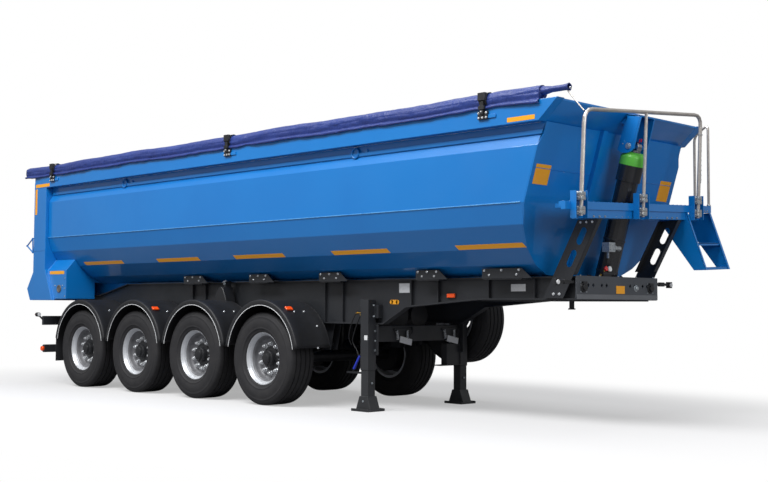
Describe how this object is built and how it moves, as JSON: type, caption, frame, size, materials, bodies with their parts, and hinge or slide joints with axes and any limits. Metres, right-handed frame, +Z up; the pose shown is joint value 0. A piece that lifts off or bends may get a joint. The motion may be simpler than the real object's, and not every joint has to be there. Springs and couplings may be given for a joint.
{
  "type": "grain semi-trailer",
  "caption": "Tipping semi-trailer with a half-round grain bed, roll tarp, front telescopic hoist, axles under arched guards and an access platform.",
  "frame": {"origin": "on the floor under the middle of the trailer's length and width", "axes": "+X forwards to the coupling, +Y to the left side, +Z up"},
  "size_m": [9.938, 2.5926, 3.1403],
  "materials": {
    "blue_paint": "gloss",
    "chassis_paint": "satin",
    "tyre_rubber": "matte",
    "guard_plastic": "matte",
    "rim_paint": "satin",
    "rail_aluminium": "satin",
    "tarp_cloth": "satin",
    "cylinder_steel": "brushed",
    "cylinder_paint": "gloss"
  },
  "bodies": {
    "chassis": {"frame": "chassis_paint", "front_crossmember": "chassis_paint", "coupling_plate": "chassis_paint", "landing_leg_right": "chassis_paint", "landing_leg_left": "chassis_paint", "landing_crossbeam": "chassis_paint", "mudguards_right": "guard_plastic", "mudguards_left": "guard_plastic", "axle_1": "chassis_paint", "axle_2": "chassis_paint", "axle_3": "chassis_paint", "axle_4": "chassis_paint", "air_tanks": "chassis_paint", "spare_tyre": "tyre_rubber", "spare_rim": "rim_paint", "spare_carrier": "chassis_paint", "platform": "blue_paint", "platform_strut_right": "chassis_paint", "platform_strut_left": "chassis_paint", "front_handrail": "rail_aluminium", "side_handrail": "rail_aluminium", "ladder": "blue_paint", "rear_bumper": "chassis_paint", "lamp_bar": "chassis_paint", "hoist_cradle": "chassis_paint"},
    "bed": {"trough": "blue_paint", "front_wall": "blue_paint", "side_rail_right": "blue_paint", "side_rail_left": "blue_paint", "visor": "blue_paint", "rear_portal": "blue_paint", "bed_sills": "chassis_paint", "hoist_bracket": "blue_paint", "tarp_roll": "tarp_cloth"},
    "tailgate": {"tailgate": "blue_paint"},
    "hoist_base": {"hoist_base": "cylinder_paint"},
    "hoist_stage_1": {"hoist_stage_1": "cylinder_steel"},
    "hoist_stage_2": {"hoist_stage_2": "cylinder_steel"},
    "hoist_stage_3": {"hoist_stage_3": "cylinder_steel"},
    "hoist_stage_4": {"hoist_stage_4": "cylinder_steel"},
    "hoist_cover": {"hoist_cover": "cylinder_paint"},
    "wheel_right_1": {"tyre_right_1": "tyre_rubber", "rim_right_1": "rim_paint"},
    "wheel_right_2": {"tyre_right_2": "tyre_rubber", "rim_right_2": "rim_paint"},
    "wheel_right_3": {"tyre_right_3": "tyre_rubber", "rim_right_3": "rim_paint"},
    "wheel_right_4": {"tyre_right_4": "tyre_rubber", "rim_right_4": "rim_paint"},
    "wheel_left_1": {"tyre_left_1": "tyre_rubber", "rim_left_1": "rim_paint"},
    "wheel_left_2": {"tyre_left_2": "tyre_rubber", "rim_left_2": "rim_paint"},
    "wheel_left_3": {"tyre_left_3": "tyre_rubber", "rim_left_3": "rim_paint"},
    "wheel_left_4": {"tyre_left_4": "tyre_rubber", "rim_left_4": "rim_paint"}
  },
  "joints": [
    {"name": "bed_tip", "type": "hinge", "parent": "chassis", "child": "bed", "pos_m": [-4.455, 0, 1.15], "axis": [0, -1, 0], "range_deg": [0, 42]},
    {"name": "tailgate_swing", "type": "hinge", "parent": "bed", "child": "tailgate", "pos_m": [-4.725, 0, 2.945], "axis": [0, 1, 0], "range_deg": [0, 80]},
    {"name": "hoist_pivot", "type": "hinge", "parent": "chassis", "child": "hoist_base", "pos_m": [4.34, 0, 1.37], "axis": [0, -1, 0], "range_deg": [0, 38.81]},
    {"name": "hoist_slide_1", "type": "slide", "parent": "hoist_base", "child": "hoist_stage_1", "axis": [0.2703, 0, 0.9628], "range_m": [0, 1.2611]},
    {"name": "hoist_slide_2", "type": "slide", "parent": "hoist_stage_1", "child": "hoist_stage_2", "axis": [0.2703, 0, 0.9628], "range_m": [0, 1.2611]},
    {"name": "hoist_slide_3", "type": "slide", "parent": "hoist_stage_2", "child": "hoist_stage_3", "axis": [0.2703, 0, 0.9628], "range_m": [0, 1.2611]},
    {"name": "hoist_slide_4", "type": "slide", "parent": "hoist_stage_3", "child": "hoist_stage_4", "axis": [0.2703, 0, 0.9628], "range_m": [0, 1.2611]},
    {"name": "hoist_slide_5", "type": "slide", "parent": "hoist_stage_4", "child": "hoist_cover", "axis": [0.2703, 0, 0.9628], "range_m": [0, 1.2611]},
    {"name": "wheel_right_1_spin", "type": "hinge", "parent": "chassis", "child": "wheel_right_1", "pos_m": [0.505, -1.013, 0.53], "axis": [0, 1, 0], "continuous": true},
    {"name": "wheel_right_2_spin", "type": "hinge", "parent": "chassis", "child": "wheel_right_2", "pos_m": [-0.805, -1.013, 0.53], "axis": [0, 1, 0], "continuous": true},
    {"name": "wheel_right_3_spin", "type": "hinge", "parent": "chassis", "child": "wheel_right_3", "pos_m": [-2.115, -1.013, 0.53], "axis": [0, 1, 0], "continuous": true},
    {"name": "wheel_right_4_spin", "type": "hinge", "parent": "chassis", "child": "wheel_right_4", "pos_m": [-3.425, -1.013, 0.53], "axis": [0, 1, 0], "continuous": true},
    {"name": "wheel_left_1_spin", "type": "hinge", "parent": "chassis", "child": "wheel_left_1", "pos_m": [0.505, 1.013, 0.53], "axis": [0, 1, 0], "continuous": true},
    {"name": "wheel_left_2_spin", "type": "hinge", "parent": "chassis", "child": "wheel_left_2", "pos_m": [-0.805, 1.013, 0.53], "axis": [0, 1, 0], "continuous": true},
    {"name": "wheel_left_3_spin", "type": "hinge", "parent": "chassis", "child": "wheel_left_3", "pos_m": [-2.115, 1.013, 0.53], "axis": [0, 1, 0], "continuous": true},
    {"name": "wheel_left_4_spin", "type": "hinge", "parent": "chassis", "child": "wheel_left_4", "pos_m": [-3.425, 1.013, 0.53], "axis": [0, 1, 0], "continuous": true}
  ],
  "couplings": [
    {"joint": "hoist_pivot", "follows": "bed_tip", "ratio": 0.92383},
    {"joint": "hoist_slide_1", "follows": "bed_tip", "m_per_rad": 1.7197},
    {"joint": "hoist_slide_2", "follows": "bed_tip", "m_per_rad": 1.7197},
    {"joint": "hoist_slide_3", "follows": "bed_tip", "m_per_rad": 1.7197},
    {"joint": "hoist_slide_4", "follows": "bed_tip", "m_per_rad": 1.7197},
    {"joint": "hoist_slide_5", "follows": "bed_tip", "m_per_rad": 1.7197}
  ]
}
